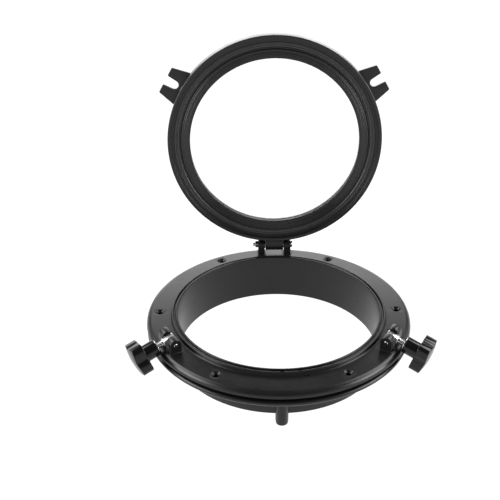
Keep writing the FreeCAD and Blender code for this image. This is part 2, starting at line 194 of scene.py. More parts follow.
HINGE_PIVOT = Vector(joint("lid_hinge")["pos_m"]) / MM
HINGE_RADIUS = HINGE_PIVOT.y
HINGE_HEIGHT = HINGE_PIVOT.z
OPEN_TURN = Matrix.Rotation(-math.radians(joint("lid_hinge")["range_deg"][1]), 4, "X")
LID_OPEN = Matrix.Translation(HINGE_PIVOT) @ OPEN_TURN @ Matrix.Translation(-HINGE_PIVOT)
UPRIGHT = Matrix.Rotation(math.radians(90), 4, "X")
ACROSS_HINGE = Matrix.Translation(HINGE_PIVOT) @ Matrix.Rotation(math.radians(90), 4, "Y")
LATCH_PIVOT = Vector(joint("latch_right_swing")["pos_m"]) / MM
PIVOT_RADIUS = LATCH_PIVOT.xy.length
PIVOT_HEIGHT = LATCH_PIVOT.z


# ---- outlines -----------------------------------------------------------------------------
def rounded(corners, steps=ARC_STEPS):
    """Closed outline through (x, y, rounding radius) corners, each rounding as an arc."""
    points = []
    for i, (x, y, radius) in enumerate(corners):
        here = Vector((x, y))
        if radius == 0:
            points.append(here)
            continue
        back = (Vector(corners[i - 1][:2]) - here).normalized()
        ahead = (Vector(corners[(i + 1) % len(corners)][:2]) - here).normalized()
        half = back.angle(ahead) / 2
        centre = here + (back + ahead).normalized() * radius / math.sin(half)
        reach = radius / math.tan(half)
        start = here + back * reach - centre
        end = here + ahead * reach - centre
        sweep = math.atan2(start.x * end.y - start.y * end.x, start.dot(end))
        for k in range(steps + 1):
            points.append(centre + Matrix.Rotation(sweep * k / steps, 2) @ start)
    return points


def moved_in(points, distance):
    """An anticlockwise outline moved inwards by a distance, or outwards by a negative one."""
    moved = []
    for i, here in enumerate(points):
        before = (here - points[i - 1]).normalized()
        after = (points[(i + 1) % len(points)] - here).normalized()
        normal = Vector((-before.y, before.x)) + Vector((-after.y, after.x))
        normal.normalize()
        square = max(0.3, normal.dot(Vector((-after.y, after.x))))
        moved.append(here + normal * distance / square)
    return moved


def rectangle(half_x, half_y, corner):
    """Rounded rectangle round the origin."""
    return rounded(
        [
            (-half_x, -half_y, corner),
            (half_x, -half_y, corner),
            (half_x, half_y, corner),
            (-half_x, half_y, corner),
        ],
        steps=4,
    )


def at_height(points, height):
    """A flat outline as points in space."""
    return [Vector((point.x, point.y, height)) for point in points]


# ---- meshes -------------------------------------------------------------------------------
def skinned(loops, wrap=False, capped=False):
    """Mesh whose faces join each loop of points to the next; a loop may be a single point."""
    mesh = bmesh.new()
    rows = [[mesh.verts.new(point) for point in loop] for loop in loops]
    pairs = list(zip(rows, rows[1:]))
    if wrap:
        pairs.append((rows[-1], rows[0]))
    for low, high in pairs:
        count = max(len(low), len(high))
        for i in range(count):
            j = (i + 1) % count
            corners = (low[i % len(low)], low[j % len(low)], high[j % len(high)], high[i % len(high)])
            mesh.faces.new(list(dict.fromkeys(corners)))
    if capped:
        mesh.faces.new(rows[0])
        mesh.faces.new(rows[-1])
    bmesh.ops.recalc_face_normals(mesh, faces=mesh.faces)
    return mesh


def lathe(corners, segments=SEGMENTS, steps=ARC_STEPS):
    """Solid of revolution about Z from a closed (radius, height, rounding) outline."""
    loops = []
    for radius, height in rounded(corners, steps):
        if radius < 1e-6:
            loops.append([Vector((0, 0, height))])
            continue
        turns = [math.tau * k / segments for k in range(segments)]
        loops.append([Vector((radius * math.cos(t), radius * math.sin(t), height)) for t in turns])
    on_axis = any(len(loop) == 1 for loop in loops)
    return skinned(loops, wrap=not on_axis)


def prism(points, low, high, edge, steps=4):
    """Solid along Z from an anticlockwise outline, with its end edges rounded."""
    levels = []
    for k in range(steps + 1):
        turn = math.pi / 2 * k / steps
        levels.append((edge * (1 - math.sin(turn)), low + edge * (1 - math.cos(turn))))
    levels += [(inward, high + low - height) for inward, height in reversed(levels)]
    loops = [at_height(moved_in(points, inward), height) for inward, height in levels]
    return skinned(loops, capped=True)


def foot_fillet(half_x, half_y, radius, base, steps=5):
    """Hollow flare round the foot of a rectangular post."""
    post = rectangle(half_x, half_y, 0.5)
    loops = [at_height(moved_in(post, -radius), base - 0.6)]
    for k in range(steps + 1):
        turn = math.pi / 2 * k / steps
        outward = radius * (1 - math.sin(turn)) - 0.02 * k / steps
        loops.append(at_height(moved_in(post, -outward), base + radius * (1 - math.cos(turn))))
    return skinned(loops, capped=True)


def moved(mesh, matrix):
    """The mesh turned or shifted in place."""
    bmesh.ops.transform(mesh, matrix=matrix, verts=mesh.verts)
    return mesh


def shifted(mesh, x=0.0, y=0.0, z=0.0):
    """The mesh shifted in place."""
    return moved(mesh, Matrix.Translation((x, y, z)))


def gathered(meshes):
    """Several meshes as one, without joining their surfaces."""
    whole = bmesh.new()
    for mesh in meshes:
        part = bpy.data.meshes.new("part")
        mesh.to_mesh(part)
        mesh.free()
        whole.from_mesh(part)
        bpy.data.meshes.remove(part)
    return whole


def loose_object(mesh):
    """Temporary object for a modifier."""
    data = bpy.data.meshes.new("loose")
    mesh.to_mesh(data)
    mesh.free()
    thing = bpy.data.objects.new("loose", data)
    bpy.context.scene.collection.objects.link(thing)
    return thing


def combined(mesh, tools, operation):
    """The mesh joined with (UNION) or cut by (DIFFERENCE) each tool in turn."""
    base = loose_object(mesh)
    things = [loose_object(tool) for tool in tools]
    for thing in things:
        step = base.modifiers.new("step", "BOOLEAN")
        step.operation = operation
        step.solver = "EXACT"
        step.object = thing
    bpy.context.view_layer.update()
    result = bmesh.new()
    result.from_object(base, bpy.context.evaluated_depsgraph_get())
    for thing in [base] + things:
        data = thing.data
        bpy.data.objects.remove(thing)
        bpy.data.meshes.remove(data)
    return result


def piece(name, mesh, body, slot, place=None, stands_for=(), finish=None):
    """A finished piece: in metres, in place, smooth-shaded, painted and riding on its body.

    Its material is the one named after its slot, unless another finish is named.
    """
    if place is not None:
        moved(mesh, place)
    moved(mesh, Matrix.Scale(MM, 4))
    bmesh.ops.remove_doubles(mesh, verts=mesh.verts, dist=1e-7)
    data = bpy.data.meshes.new(name)
    mesh.to_mesh(data)
    mesh.free()
    data.polygons.foreach_set("use_smooth", [True] * len(data.polygons))
    data.set_sharp_from_angle(angle=SHARP_ANGLE)
    thing = bpy.data.objects.new(name, data)
    bpy.context.scene.collection.objects.link(thing)
    data.materials.append(MATERIALS[finish or slot])
    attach(thing, body)
    if stands_for:
        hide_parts(*stands_for)


# ---- materials ----------------------------------------------------------------------------
def wired(tree, kind, inputs, **settings):
    """A new node; each input is an output to link or a value to set, by socket name or number."""
    node = tree.nodes.new(kind)
    for name, value in settings.items():
        setattr(node, name, value)
    for socket, value in inputs.items():
        if isinstance(value, bpy.types.NodeSocket):
            tree.links.new(value, node.inputs[socket])
        else:
            node.inputs[socket].default_value = value
    return node


class Paint:
    """A node material and short ways to wire it."""

    def __init__(self, name):
        self.material = bpy.data.materials.new(name)
        self.material.use_nodes = True
        self.tree = self.material.node_tree
        self.shader = self.tree.nodes["Principled BSDF"]
        self.place = wired(self.tree, "ShaderNodeTexCoord", {}).outputs["Object"]

    def set(self, **values):
        """Shader sockets by name, with underscores for spaces."""
        for name, value in values.items():
            self.shader.inputs[name.replace("_", " ")].default_value = value

    def feed(self, socket, value):
        """Wire a value to a shader socket."""
        self.tree.links.new(value, self.shader.inputs[socket])

    def mapping(self, **values):
        """The object's own coordinates, moved, turned or stretched."""
        node = wired(self.tree, "ShaderNodeMapping", {"Vector": self.place, **values})
        return node.outputs["Vector"]

    def noise(self, scale, detail, stretch=(1, 1, 1)):
        """Noise over the object's own coordinates, with its axes stretched if asked."""
        place = self.mapping(Scale=stretch)
        inputs = {"Vector": place, "Scale": scale, "Detail": detail}
        return wired(self.tree, "ShaderNodeTexNoise", inputs).outputs["Fac"]

    def rings(self, scale, placing):
        """Uneven fine rings about the Z axis of a placing matrix, which is in millimetres."""
        back = placing.inverted()
        place = self.mapping(Location=back.translation * MM, Rotation=back.to_euler())
        flat = wired(self.tree, "ShaderNodeVectorMath", {0: place, 1: (1, 1, 0)}, operation="MULTIPLY")
        inputs = {0: flat.outputs["Vector"]}
        radius = wired(self.tree, "ShaderNodeVectorMath", inputs, operation="LENGTH")
        inputs = {"W": radius.outputs["Value"], "Scale": scale, "Detail": 1.0}
        return wired(self.tree, "ShaderNodeTexNoise", inputs, noise_dimensions="1D").outputs["Fac"]

    def spread(self, value, low, high):
        """A 0-1 texture's middle range mapped to low..high."""
        inputs = {"Value": value, "From Min": 0.3, "From Max": 0.7, "To Min": low, "To Max": high}
        return wired(self.tree, "ShaderNodeMapRange", inputs).outputs["Result"]

    def blend(self, value, first, second):
        """Colour between two, by a 0-1 value."""
        inputs = {"Factor": value, "A": (*first, 1), "B": (*second, 1)}
        return wired(self.tree, "ShaderNodeMix", inputs, data_type="RGBA").outputs["Result"]

    def bump(self, value, depth):
        """Relief of a depth in metres, on top of any that is already wired."""
        inputs = {"Height": value, "Distance": depth, "Strength": 1.0}
        normal = self.shader.inputs["Normal"]
        if normal.is_linked:
            inputs["Normal"] = normal.links[0].from_socket
        self.feed("Normal", wired(self.tree, "ShaderNodeBump", inputs).outputs["Normal"])


def moulded_plastic(name, grey=0.007, roughness=0.29, ior=1.38, sheen=0.0):
    """Black moulded plastic with a faint mottle, uneven gloss and a fine grain."""
    paint = Paint(name)
    mottle = paint.noise(38, detail=4)
    dark = (grey * 0.8, grey * 0.8, grey * 0.84)
    light = (grey * 1.25, grey * 1.25, grey * 1.28)
    paint.feed("Base Color", paint.blend(mottle, dark, light))
    paint.feed("Roughness", paint.spread(paint.noise(60, detail=3), roughness - 0.02, roughness + 0.03))
    paint.bump(paint.noise(14, detail=1), 0.00003)
    paint.bump(paint.noise(1900, detail=2), 0.000004)
    paint.set(IOR=ior, Sheen_Weight=sheen, Sheen_Roughness=0.15)
    return paint.material


def turned_plastic(name):
    """Black plastic ring with fine turning marks round the lid."""
    paint = Paint(name)
    mottle = paint.noise(38, detail=4)
    paint.feed("Base Color", paint.blend(mottle, (0.005, 0.005, 0.0052), (0.009, 0.009, 0.0092)))
    paint.feed("Roughness", paint.spread(paint.noise(90, detail=5), 0.24, 0.34))
    paint.bump(paint.rings(900, LID_OPEN), 0.0007)
    paint.set(IOR=1.4)
    return paint.material


def stainless_steel(name):
    """Polished stainless steel with fine turning lines."""
    paint = Paint(name)
    lines = paint.noise(700, detail=3, stretch=(1, 1, 6))
    paint.feed("Base Color", paint.blend(lines, (0.44, 0.44, 0.45), (0.58, 0.58, 0.58)))
    paint.feed("Roughness", paint.spread(lines, 0.14, 0.24))
    paint.bump(lines, 0.000004)
    paint.set(Metallic=1.0)
    return paint.material


def turned_brass(name):
    """Brass bush, slightly dulled."""
    paint = Paint(name)
    cloud = paint.noise(400, detail=3)
    paint.feed("Base Color", paint.blend(cloud, (0.60, 0.45, 0.20), (0.76, 0.60, 0.31)))
    paint.feed("Roughness", paint.spread(cloud, 0.25, 0.40))
    paint.bump(cloud, 0.000005)
    paint.set(Metallic=1.0)
    return paint.material


def rubber(name):
    """Black rubber with a soft gloss and a faint bloom."""
    paint = Paint(name)
    bloom = paint.noise(120, detail=5)
    paint.feed("Base Color", paint.blend(bloom, (0.012, 0.012, 0.0125), (0.022, 0.022, 0.0225)))
    paint.feed("Roughness", paint.spread(bloom, 0.30, 0.40))
    paint.bump(paint.noise(1500, detail=3), 0.00002)
    return paint.material


def window_glass(name):
    """Clear toughened glass with a faint cool tint and a few soft smears."""
    paint = Paint(name)
    smears = paint.noise(22, detail=4, stretch=(1, 1, 3))
    paint.feed("Base Color", paint.blend(smears, (0.955, 0.965, 0.975), (0.985, 0.99, 0.995)))
    paint.feed("Roughness", paint.spread(smears, 0.0, 0.015))
    paint.set(Transmission_Weight=1.0, IOR=1.45)
    return paint.material


def studio_floor(name):
    """Paper floor with an even glow of its own, which keeps it nearly white."""
    paint = Paint(name)
    fibre = paint.noise(3, detail=5)
    paint.feed("Base Color", paint.blend(fibre, (0.09, 0.09, 0.09), (0.11, 0.11, 0.11)))
    paint.feed("Roughness", paint.spread(fibre, 0.85, 0.95))
    paint.set(Emission_Color=(1, 1, 1, 1), Emission_Strength=0.96)
    return paint.material


MATERIALS = {
    "frame_plastic": moulded_plastic("frame_plastic"),
    "lid_plastic": moulded_plastic("lid_plastic"),
    "turned_plastic": turned_plastic("turned_plastic"),
    "knob_plastic": moulded_plastic("knob_plastic", grey=0.004, roughness=0.13, ior=1.36, sheen=0.3),
    "glass": window_glass("glass"),
    "rubber": rubber("rubber"),
    "stainless": stainless_steel("stainless"),
    "brass": turned_brass("brass"),
    "floor": studio_floor("floor"),
}


# ---- main frame ---------------------------------------------------------------------------
def frame_ring():
    """Flange, double-lipped collar and spigot."""
    groove_floor = COLLAR_TOP - 2.0
    return lathe(
        [
            (BORE_RADIUS, -SPIGOT_DEPTH, 0.8),
            (SPIGOT_RADIUS, -SPIGOT_DEPTH, 0.8),
            (SPIGOT_RADIUS, 0, 0),
            (FLANGE_RADIUS, 0, 0.6),
            (FLANGE_RADIUS, FLANGE_TOP, FLANGE_EDGE_ROUND),
            (COLLAR_RADIUS + 0.6, FLANGE_TOP, 0.8),
            (COLLAR_RADIUS, COLLAR_TOP - 0.3, 0.8),
            (COLLAR_RADIUS - 2.0, COLLAR_TOP - 0.3, 0.7),
            (COLLAR_RADIUS - 2.2, groove_floor, 0.4),
            (BORE_RADIUS + 2.1, groove_floor, 0.4),
            (BORE_RADIUS + 1.9, COLLAR_TOP, 0.7),
            (BORE_RADIUS, COLLAR_TOP, 0.7),
        ]
    )


def lug_pair(profile, half_depth, centre, inner, outer):
    """Two upright lugs and the fillets at their feet, made at the +X station."""
    lugs = []
    half_width = (outer - inner) / 2
    for side in (-1, 1):
        middle = side * (inner + outer) / 2
        lug = moved(prism(profile, -half_width, half_width, 0.6), UPRIGHT)
        lugs.append(shifted(lug, y=middle))
        fillet = foot_fillet(half_depth, half_width, 1.0, FLANGE_TOP)
        lugs.append(shifted(fillet, centre, middle))
    return lugs


def latch_lugs():
    """Round-topped lugs that carry a latch pin."""
    top = PIVOT_HEIGHT + LATCH_LUG_RADIUS
    low = PIVOT_RADIUS - LATCH_LUG_RADIUS
    high = PIVOT_RADIUS + LATCH_LUG_RADIUS
    profile = [
        (low, 3.0, 0),
        (high, 3.0, 0),
        (high, top, LATCH_LUG_RADIUS - 0.02),
        (low, top, LATCH_LUG_RADIUS - 0.02),
    ]
    return lug_pair(
        rounded(profile, 14), LATCH_LUG_RADIUS, PIVOT_RADIUS, LATCH_LUG_INNER, LATCH_LUG_OUTER
    )


def hinge_lugs():
    """Lugs that carry the hinge bolt; their square back corner is the lid's stop."""
    half = HINGE_LUG_HALF_DEPTH
    top = HINGE_HEIGHT + 4.5
    profile = [
        (HINGE_RADIUS - half, 2.0, 0),
        (HINGE_RADIUS + half, 2.0, 0),
        (HINGE_RADIUS + half, top, 1.6),
        (HINGE_RADIUS - half, top, 4.0),
    ]
    return lug_pair(rounded(profile, 8), half, HINGE_RADIUS, HINGE_LUG_INNER, HINGE_LUG_OUTER)


def spout():
    """Drain tube with a softened end, cut away on its inner side."""
    tube = lathe(
        [
            (0, -SPOUT_DEPTH, 0),
            (SPOUT_RADIUS, -SPOUT_DEPTH, 1.6),
            (SPOUT_RADIUS, 1, 0),
            (0, 1, 0),
        ],
        segments=64,
    )
    shifted(tube, SPOUT_CENTRE)
    below = 1.0
    inner = BORE_RADIUS - 4
    half_width = 2 * SPOUT_RADIUS
    wedge_profile = rounded(
        [
            (inner, -SPOUT_DEPTH - below, 0),
            (SPOUT_CENTRE + SPOUT_RADIUS - 1, -SPOUT_DEPTH - below, 0),
            (BORE_RADIUS, -SPIGOT_DEPTH - below, 0),
            (inner, -SPIGOT_DEPTH - below, 0),
        ]
    )
    wedge = moved(prism(wedge_profile, -half_width, half_width, 0.01), UPRIGHT)
    tube = combined(tube, [wedge], "DIFFERENCE")
    bmesh.ops.bisect_plane(
        tube,
        geom=tube.verts[:] + tube.edges[:] + tube.faces[:],
        plane_co=(BORE_RADIUS + 1.5, 0, 0),
        plane_no=(-1, 0, 0),
        clear_outer=True,
    )
    bmesh.ops.holes_fill(tube, edges=[edge for edge in tube.edges if edge.is_boundary])
    return tube


def round_bar(radius, low, high, segments=48):
    """Plain bar along Z, for cutting holes."""
    return lathe([(0, low, 0), (radius, low, 0), (radius, high, 0), (0, high, 0)], segments)


def screw_cutter():
    """Countersunk hole with a softened rim, at the +X station."""
    depth = COUNTERSINK_RADIUS - SCREW_HOLE_RADIUS
    cutter = lathe(
        [
            (0, -1, 0),
            (SCREW_HOLE_RADIUS, -1, 0),
            (SCREW_HOLE_RADIUS, FLANGE_TOP - depth, 0.3),
            (COUNTERSINK_RADIUS, FLANGE_TOP, 0.25),
            (COUNTERSINK_RADIUS + 0.5, FLANGE_TOP + 0.01, 0),
            (COUNTERSINK_RADIUS + 0.5, FLANGE_TOP + 2, 0),
            (0, FLANGE_TOP + 2, 0),
        ],
        segments=48,
    )
    return shifted(cutter, SCREW_CIRCLE_RADIUS)


def build_main_frame():
    """The frame moulding, with its lugs, spout and holes."""
    additions = [moved(spout(), station(SPOUT_STATION))]
    additions += [moved(lug, station(HINGE_STATION)) for lug in hinge_lugs()]
    for angle in LATCH_STATIONS.values():
        additions += [moved(lug, station(angle)) for lug in latch_lugs()]
    body = combined(frame_ring(), additions, "UNION")
    screws = [moved(screw_cutter(), station(angle)) for angle in SCREW_STATIONS]
    bores = [moved(round_bar(HINGE_BOLT_RADIUS + 0.05, -30, 30), ACROSS_HINGE)]
    for angle in LATCH_STATIONS.values():
        bore = moved(round_bar(LATCH_PIN_RADIUS + 0.02, -20, 20), UPRIGHT)
        shifted(bore, PIVOT_RADIUS, z=PIVOT_HEIGHT)
        bores.append(moved(bore, station(angle)))
    drain = shifted(round_bar(DRAIN_RADIUS, -60, 20), DRAIN_CENTRE)
    bores.append(moved(drain, station(SPOUT_STATION)))
    body = combined(body, [gathered(screws), gathered(bores)], "DIFFERENCE")
    piece("frame_moulding", body, "frame", "frame_plastic", stands_for=["main_frame"])


def build_trim_ring():
    """Outer ring with the screw pattern and a notch for the spout."""
    ring = lathe(
        [
            (TRIM_INNER, TRIM_BOTTOM, 0.6),
            (TRIM_RADIUS, TRIM_BOTTOM, 2.6),
            (TRIM_RADIUS, TRIM_TOP, 2.2),
            (TRIM_INNER, TRIM_TOP, 0.6),
        ]
    )
    notch = shifted(round_bar(NOTCH_RADIUS, -20, 0), SPOUT_CENTRE)
    cutters = [moved(notch, station(SPOUT_STATION))]
    for angle in SCREW_STATIONS:
        hole = shifted(round_bar(SCREW_HOLE_RADIUS, -20, 0), SCREW_CIRCLE_RADIUS)
        cutters.append(moved(hole, station(angle)))
    ring = combined(ring, [gathered(cutters)], "DIFFERENCE")
    piece("trim_moulding", ring, "trim", "frame_plastic", stands_for=["trim_ring"])


# ---- lid ----------------------------------------------------------------------------------
def lid_rim():
    """Lid section: crowned outside, glass seat, seal groove and outer skirt inside."""
    return lathe(
        [
            (SKIRT_INNER, LID_BOTTOM, 0.5),
            (LID_RADIUS, LID_BOTTOM, 1.0),
            (LID_RADIUS, 21.6, 0.2),
            (LID_RADIUS - 0.7, 22.0, 0.2),
            (LID_RADIUS - 1.4, LID_TOP - 1.0, 3.2),
            (LID_RADIUS - 8.0, LID_TOP, 5.0),
            (LID_OPENING_RADIUS + 0.4, LID_TOP - 2.4, 1.4),
            (LID_OPENING_RADIUS, SEAT_TOP, 0),
            (SEAT_RADIUS, SEAT_TOP, 0),
            (SEAT_RADIUS, SEAT_BOTTOM, 0),
            (RETAINER_RADIUS, SEAT_BOTTOM, 0),
            (RETAINER_RADIUS, LEDGE_BOTTOM, 0.3),
            (SEAL_INNER, LEDGE_BOTTOM, 0.3),
            (SEAL_INNER, SEAL_CEILING, 0),
            (SEAL_OUTER, SEAL_CEILING, 0),
            (SEAL_OUTER, RECESS_FLOOR, 0.4),
            (SKIRT_INNER, RECESS_FLOOR, 0.6),
        ]
    )


def ear():
    """Forked ear whose slot takes the swing bolt, at the +X station."""
    slot_centre = EAR_SLOT_BOTTOM + EAR_SLOT_RADIUS
    corners = [
        (LID_RADIUS - 8, -EAR_HALF_BASE - 1, 0),
        (LID_RADIUS, -EAR_HALF_BASE, 2.0),
        (EAR_REACH, -EAR_HALF_TIP, 1.6),
        (EAR_REACH, -EAR_SLOT_RADIUS - 0.7, 1.2),
        (slot_centre, -EAR_SLOT_RADIUS, 0),
    ]
    points = rounded(corners, 6)
    mirrored = [Vector((point.x, -point.y)) for point in reversed(points)]
    centre = Vector((slot_centre, 0))
    slot = []
    steps = 16
    for k in range(1, steps):
        turn = -math.pi / 2 - math.pi * k / steps
        slot.append(centre + Vector((math.cos(turn), math.sin(turn))) * EAR_SLOT_RADIUS)
    return prism(points + slot + mirrored, LID_TOP - EAR_THICKNESS, LID_TOP, 0.7)


def hinge_block():
    """Wide pad at the rim and the tongue round the hinge bolt, at the +X station."""
    pad = [
        (LID_RADIUS - 9, HINGE_HEIGHT + 5.2, 0),
        (HINGE_RADIUS - 5.0, HINGE_HEIGHT + 5.2, 0.6),
        (HINGE_RADIUS - 5.0, LID_TOP - 0.6, 2.0),
        (LID_RADIUS - 9, LID_TOP - 0.6, 0),
    ]
    tongue = [
        (LID_RADIUS - 3, HINGE_HEIGHT - 3.0, 0),
        (HINGE_RADIUS - KNUCKLE_RADIUS, HINGE_HEIGHT - KNUCKLE_RADIUS, 2.0),
        (HINGE_RADIUS + KNUCKLE_RADIUS, HINGE_HEIGHT - KNUCKLE_RADIUS, KNUCKLE_RADIUS - 0.02),
        (HINGE_RADIUS + KNUCKLE_RADIUS, HINGE_HEIGHT + KNUCKLE_RADIUS, KNUCKLE_RADIUS - 0.02),
        (HINGE_RADIUS - KNUCKLE_RADIUS, LID_TOP - 1.6, 3.0),
        (LID_RADIUS - 3, LID_TOP - 1.6, 0),
    ]
    half_pad = HINGE_LUG_OUTER - 0.3
    return [
        moved(prism(rounded(pad, 4), -half_pad, half_pad, 0.5), UPRIGHT),
        moved(prism(rounded(tongue, 10), -TONGUE_HALF_WIDTH, TONGUE_HALF_WIDTH, 0.5), UPRIGHT),
    ]


def build_lid():
    """Lid moulding with its ears and hinge block."""
    additions = [moved(ear(), station(angle)) for angle in LATCH_STATIONS.values()]
    additions += [moved(part, station(HINGE_STATION)) for part in hinge_block()]
    body = combined(lid_rim(), additions, "UNION")
    bore = moved(round_bar(HINGE_BOLT_RADIUS + 0.05, -15, 15), ACROSS_HINGE)
    body = combined(body, [bore], "DIFFERENCE")
    piece("lid_moulding", body, "lid", "lid_plastic", LID_OPEN, ["lid_ring"])


def build_glazing():
    """Glass, its rubber channel and the ring that holds it."""
    glass = lathe(
        [
            (0, GLASS_BOTTOM, 0),
            (GLASS_RADIUS, GLASS_BOTTOM, 0.6),
            (GLASS_RADIUS, GLASS_TOP, 0.6),
            (0, GLASS_TOP, 0),
        ]
    )
    piece("window", glass, "lid", "glass", LID_OPEN, ["glass_pane"])
    lip = LID_OPENING_RADIUS - 0.5
    channel = lathe(
        [
            (lip, SEAT_BOTTOM, 0.2),
            (SEAT_RADIUS - 0.05, SEAT_BOTTOM, 0.3),
            (SEAT_RADIUS - 0.05, SEAT_TOP, 0.3),
            (lip, SEAT_TOP, 0.3),
            (lip, GLASS_TOP, 0.2),
            (GLASS_RADIUS, GLASS_TOP, 0),
            (GLASS_RADIUS, GLASS_BOTTOM, 0),
            (lip, GLASS_BOTTOM, 0.2),
        ]
    )
    piece("window_channel", channel, "lid", "rubber", LID_OPEN, ["glazing_gasket"])
    inner = LID_OPENING_RADIUS - 1.4
    outer = RETAINER_RADIUS - 0.1
    retainer = lathe(
        [
            (inner, 10.4, 0.4),
            (inner + 1.6, 9.5, 0.8),
            (outer - 0.4, 9.9, 0.4),
            (outer, SEAT_BOTTOM, 0),
            (inner, SEAT_BOTTOM, 0),
        ]
    )
    replaced = ["glazing_retainer"]
    piece("window_retainer", retainer, "lid", "lid_plastic", LID_OPEN, replaced, "turned_plastic")


def build_seal():
    """Rubber seal with two shallow grooves, which lies on both lips of the collar."""
    face = COLLAR_TOP + 0.25
    middle = (SEAL_INNER + SEAL_OUTER) / 2
    seal = lathe(
        [
            (SEAL_INNER + 0.1, face + 0.5, 0.3),
            (SEAL_INNER + 0.7, face, 0.3),
            (middle - 0.9, face, 0.2),
            (middle - 0.5, face + 0.8, 0.2),
            (middle + 0.5, face + 0.8, 0.2),
            (middle + 0.9, face, 0.3),
            (SEAL_OUTER - 0.1, face + 0.5, 0.2),
            (SEAL_OUTER - 0.1, SEAL_CEILING, 0),
            (SEAL_INNER + 0.1, SEAL_CEILING, 0),
        ]
    )
    piece("rim_seal", seal, "lid", "rubber", LID_OPEN, ["lid_seal"])


# ---- screws, nuts and threads -------------------------------------------------------------
def threaded_bar(radius, pitch, start, end, segments=40):
    """Bar along Z whose surface is a rolled thread, running out at both ends."""
    depth = 0.54 * pitch
    half_groove = 0.42
    chamfer_length = 0.8 * pitch
    rows_per_turn = 10
    rows = math.ceil((end - start) / pitch * rows_per_turn)
    loops = [[Vector((0, 0, start))]]
    for row in range(rows + 1):
        height = start + (end - start) * row / rows
        runout = min(1.0, (height - start) / pitch, (end - height) / pitch)
        chamfer = 0.5 * pitch * max(0.0, 1 - (end - height) / chamfer_length)
        loop = []
        for k in range(segments):
            phase = (height / pitch - k / segments) % 1.0
            groove = max(0.0, 1 - abs(phase - 0.5) / half_groove) * runout
            reach = radius - depth * groove**0.9 - chamfer
            turn = math.tau * k / segments
            loop.append(Vector((reach * math.cos(turn), reach * math.sin(turn), height)))
        loops.append(loop)
    loops.append([Vector((0, 0, end))])
    return skinned(loops)


def hexagon_nut(across_flats, thickness, hole):
    """Chamfered hexagon nut from height 0 up."""
    corner = across_flats / 2 / math.cos(math.pi / 6)
    corners = [
        (corner * math.cos(math.tau * i / 6), corner * math.sin(math.tau * i / 6), 0.15)
        for i in range(6)
    ]
    body = prism(rounded(corners, 3), 0, thickness, 0.02)
    chamfer = lathe(
        [
            (0, 0, 0),
            (across_flats / 2 - 0.1, 0, 0),
            (corner + 0.3, 0.75, 0),
            (corner + 0.3, thickness - 0.75, 0),
            (across_flats / 2 - 0.1, thickness, 0),
            (0, thickness, 0),
        ],
        segments=72,
    )
    body = combined(body, [chamfer], "INTERSECT")
    bore = lathe(
        [
            (0, -1, 0),
            (hole + 0.9, -1, 0),
            (hole + 0.5, 0, 0),
            (hole, 0.5, 0),
            (hole, thickness - 0.5, 0),
            (hole + 0.5, thickness, 0),
            (hole + 0.9, thickness + 1, 0),
            (0, thickness + 1, 0),
        ],
        segments=48,
    )
    return combined(body, [bore], "DIFFERENCE")


def flat_washer(inner, outer, low, high, edge=0.15):
    """Flat washer with broken edges."""
    return lathe(
        [(inner, low, edge), (outer, low, edge), (outer, high, edge), (inner, high, edge)],
        segments=72,
        steps=3,
    )


def build_hinge_hardware():
    """Slotted bolt, nut and washers of the hinge."""
    face = HINGE_LUG_OUTER
    top = face + HINGE_HEAD_THICKNESS
    head = lathe(
        [
            (0, face, 0),
            (HINGE_HEAD_RADIUS, face, 0.15),
            (HINGE_HEAD_RADIUS, top, 1.3),
            (0, top, 0),
        ],
        segments=72,
    )
    slot = prism(rectangle(6, 0.5, 0.1), top - 1.1, top + 1, 0.02)
    head = combined(head, [slot], "DIFFERENCE")
    plain = round_bar(HINGE_BOLT_RADIUS, -face + 1, face + 0.2)
    thread = threaded_bar(HINGE_BOLT_RADIUS, HINGE_THREAD_PITCH, -face - 5.6, -face + 2)
    bolt = gathered([head, plain, thread])
    piece("hinge_screw", bolt, "frame", "stainless", ACROSS_HINGE, ["hinge_bolt"])
    nut = hexagon_nut(HINGE_NUT_ACROSS_FLATS, HINGE_NUT_THICKNESS, HINGE_BOLT_RADIUS)
    shifted(nut, z=-face - HINGE_NUT_THICKNESS)
    piece("hinge_lock_nut", nut, "frame", "stainless", ACROSS_HINGE, ["hinge_nut"])
    washers = []
    for side in (-1, 1):
        ends = sorted((side * (TONGUE_HALF_WIDTH + 0.2), side * HINGE_LUG_INNER))
        washers.append(flat_washer(HINGE_BOLT_RADIUS + 0.05, HINGE_WASHER_RADIUS, *ends))
    piece("hinge_shims", gathered(washers), "frame", "stainless", ACROSS_HINGE, ["hinge_washers"])


# ---- latches ------------------------------------------------------------------------------
def build_latch_pin(side):
    """Cross pin with domed ends."""
    half = LATCH_LUG_OUTER + 0.4
    pin = lathe(
        [
            (0, -half, 0),
            (LATCH_PIN_RADIUS, -half, 0.6),
            (LATCH_PIN_RADIUS, half, 0.6),
            (0, half, 0),
        ],
        segments=56,
    )
    shifted(moved(pin, UPRIGHT), PIVOT_RADIUS, z=PIVOT_HEIGHT)
    place = station(LATCH_STATIONS[side])
    piece(f"pivot_pin_{side}", pin, "frame", "stainless", place, [f"latch_pin_{side}"])


